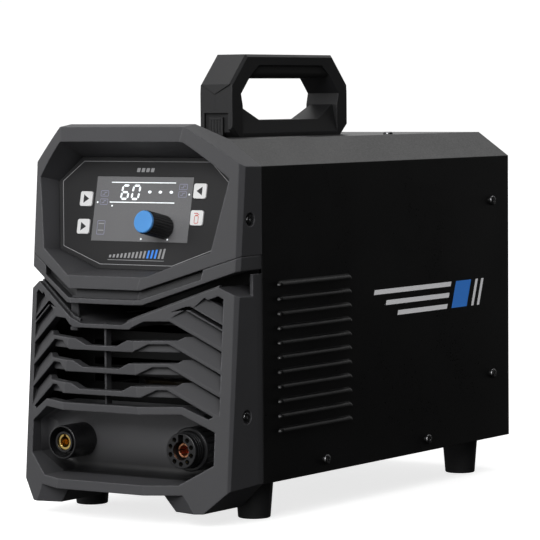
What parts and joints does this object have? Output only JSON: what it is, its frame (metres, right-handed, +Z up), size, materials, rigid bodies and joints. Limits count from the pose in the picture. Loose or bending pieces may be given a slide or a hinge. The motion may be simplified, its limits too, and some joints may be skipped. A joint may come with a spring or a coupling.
{
  "type": "plasma cutter unit",
  "caption": "Portable inverter plasma cutter power source: bevelled steel cover, faceted louvred plastic front with control panel, earth and torch sockets, top handle, rubber feet and rear fan.",
  "frame": {"origin": "on the floor, under the middle of the whole unit, at the centre of the bounding box footprint", "axes": "+Z up, the control panel and sockets face -Y, +X is to the right of somebody facing the front"},
  "size_m": [0.2152, 0.5006, 0.3695],
  "materials": {
    "cover_paint": "satin powder coat",
    "chassis_steel": "zinc plated sheet",
    "front_plastic": "fine grained moulding",
    "panel_plastic": "moulded",
    "overlay_film": "printed film",
    "window_tint": "tinted window",
    "key_white": "white keycap",
    "knob_black": "ribbed moulding",
    "knob_blue": "blue cap",
    "socket_black": "glass filled insulator",
    "contact_brass": "machined brass",
    "contact_copper": "machined copper alloy",
    "handle_plastic": "grained moulding",
    "handle_rubber": "soft ribbed grip",
    "foot_rubber": "moulded rubber",
    "screw_black": "black oxide",
    "screw_zinc": "zinc plated",
    "fan_plastic": "moulded",
    "switch_black": "moulded",
    "rocker_red": "red rocker",
    "cable_jacket": "cable sheath",
    "hose_blue": "pneumatic hose",
    "valve_metal": "machined body",
    "circuit_board": "solder mask",
    "component_black": "component plastic",
    "sink_aluminium": "extruded",
    "ferrite": "sintered core",
    "winding_tape": "taped winding",
    "capacitor_sleeve": "shrink sleeve"
  },
  "bodies": {
    "machine": {"air_hose": "hose_blue", "air_inlet": "contact_brass", "air_valve": "valve_metal", "base_tray": "chassis_steel", "board_spacers": "screw_zinc", "bus_capacitors": "capacitor_sleeve", "button_switches": "component_black", "cable_gland": "handle_plastic", "case_cover": "cover_paint", "control_board": "circuit_board", "control_plate": "panel_plastic", "cover_screws": "screw_black", "display_module": "component_black", "display_window": "window_tint", "earth_socket_contact": "contact_brass", "earth_socket_insulator": "socket_black", "earth_socket_nut": "contact_brass", "encoder_body": "component_black", "fan_guard": "cover_paint", "fan_housing": "fan_plastic", "fan_screws": "screw_zinc", "foot_screws": "screw_zinc", "front_bezel": "front_plastic", "front_bulkhead": "cover_paint", "front_chin": "front_plastic", "front_grille": "front_plastic", "front_screws": "screw_black", "gland_lock_nut": "contact_brass", "handle_arch": "handle_plastic", "handle_grip": "handle_rubber", "handle_plinth": "handle_plastic", "handle_screws": "screw_zinc", "heat_sinks": "sink_aluminium", "main_board": "circuit_board", "mains_cable": "cable_jacket", "output_choke": "winding_tape", "panel_overlay": "overlay_film", "power_switch_body": "switch_black", "rear_panel": "cover_paint", "roof_brace": "chassis_steel", "rubber_feet": "foot_rubber", "socket_cables": "cable_jacket", "socket_panel": "panel_plastic", "torch_socket_body": "socket_black", "torch_socket_collar": "socket_black", "torch_socket_contact": "contact_copper", "torch_socket_pins": "contact_brass", "transformer_core": "ferrite", "transformer_winding": "winding_tape"},
    "control_knob": {"encoder_shaft": "screw_zinc", "knob_body": "knob_black", "knob_cap": "knob_blue"},
    "key_left_upper": {"button_left_upper": "key_white"},
    "key_left_lower": {"button_left_lower": "key_white"},
    "key_right_upper": {"button_right_upper": "key_white"},
    "key_right_lower": {"button_right_lower": "key_white"},
    "fan": {"fan_rotor": "fan_plastic"},
    "power_rocker": {"power_switch_rocker": "rocker_red"}
  },
  "joints": [
    {"name": "knob_turn", "type": "hinge", "parent": "machine", "child": "control_knob", "pos_m": [0.024, -0.19279, 0.23149], "axis": [0, -0.9799, 0.1994], "continuous": true},
    {"name": "press_left_upper", "type": "slide", "parent": "machine", "child": "key_left_upper", "axis": [0, 0.9799, -0.1994], "range_m": [0, 0.0008], "stiffness_N_per_m": 900},
    {"name": "press_left_lower", "type": "slide", "parent": "machine", "child": "key_left_lower", "axis": [0, 0.9799, -0.1994], "range_m": [0, 0.0008], "stiffness_N_per_m": 900},
    {"name": "press_right_upper", "type": "slide", "parent": "machine", "child": "key_right_upper", "axis": [0, 0.9799, -0.1994], "range_m": [0, 0.0008], "stiffness_N_per_m": 900},
    {"name": "press_right_lower", "type": "slide", "parent": "machine", "child": "key_right_lower", "axis": [0, 0.9799, -0.1994], "range_m": [0, 0.0008], "stiffness_N_per_m": 900},
    {"name": "fan_spin", "type": "hinge", "parent": "machine", "child": "fan", "pos_m": [0, 0.19726, 0.118], "axis": [0, 1, 0], "continuous": true},
    {"name": "rocker_tip", "type": "hinge", "parent": "machine", "child": "power_rocker", "pos_m": [0.05, 0.21676, 0.238], "axis": [1, 0, 0], "range_deg": [-20, 0]}
  ]
}
